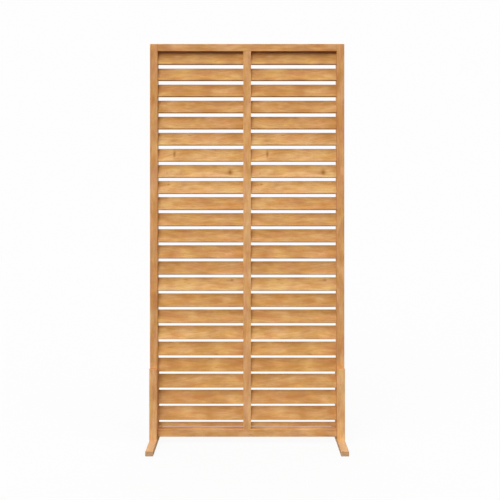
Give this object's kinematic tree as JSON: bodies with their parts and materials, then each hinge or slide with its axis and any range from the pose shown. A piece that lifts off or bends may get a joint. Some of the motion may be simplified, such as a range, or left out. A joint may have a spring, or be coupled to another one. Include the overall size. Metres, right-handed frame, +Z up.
{
  "type": "garden privacy screen",
  "caption": "Free-standing slatted hardwood screen with a centre mullion, leaning fixed slats and flat feet.",
  "frame": {"origin": "on the ground, midway between the two feet and midway through the frame's depth", "axes": "+X to the right seen from the front, +Y to the back, +Z up"},
  "size_m": [0.89, 0.308, 1.83],
  "materials": {
    "frame_wood": "oiled hardwood, satin",
    "slat_wood": "oiled hardwood, satin",
    "leg_wood": "oiled hardwood, satin",
    "zinc_steel": "zinc plated, satin"
  },
  "bodies": {
    "root": {"stile_left": "frame_wood", "stile_right": "frame_wood", "rail_top": "frame_wood", "rail_bottom": "frame_wood", "mullion": "frame_wood", "slat_left_01": "slat_wood", "slat_left_02": "slat_wood", "slat_left_03": "slat_wood", "slat_left_04": "slat_wood", "slat_left_05": "slat_wood", "slat_left_06": "slat_wood", "slat_left_07": "slat_wood", "slat_left_08": "slat_wood", "slat_left_09": "slat_wood", "slat_left_10": "slat_wood", "slat_left_11": "slat_wood", "slat_left_12": "slat_wood", "slat_left_13": "slat_wood", "slat_left_14": "slat_wood", "slat_left_15": "slat_wood", "slat_left_16": "slat_wood", "slat_left_17": "slat_wood", "slat_left_18": "slat_wood", "slat_left_19": "slat_wood", "slat_left_20": "slat_wood", "slat_left_21": "slat_wood", "slat_left_22": "slat_wood", "slat_left_23": "slat_wood", "slat_left_24": "slat_wood", "slat_right_01": "slat_wood", "slat_right_02": "slat_wood", "slat_right_03": "slat_wood", "slat_right_04": "slat_wood", "slat_right_05": "slat_wood", "slat_right_06": "slat_wood", "slat_right_07": "slat_wood", "slat_right_08": "slat_wood", "slat_right_09": "slat_wood", "slat_right_10": "slat_wood", "slat_right_11": "slat_wood", "slat_right_12": "slat_wood", "slat_right_13": "slat_wood", "slat_right_14": "slat_wood", "slat_right_15": "slat_wood", "slat_right_16": "slat_wood", "slat_right_17": "slat_wood", "slat_right_18": "slat_wood", "slat_right_19": "slat_wood", "slat_right_20": "slat_wood", "slat_right_21": "slat_wood", "slat_right_22": "slat_wood", "slat_right_23": "slat_wood", "slat_right_24": "slat_wood", "foot_left": "leg_wood", "cheek_front_left": "leg_wood", "cheek_back_left": "leg_wood", "foot_right": "leg_wood", "cheek_front_right": "leg_wood", "cheek_back_right": "leg_wood"}
  },
  "joints": []
}
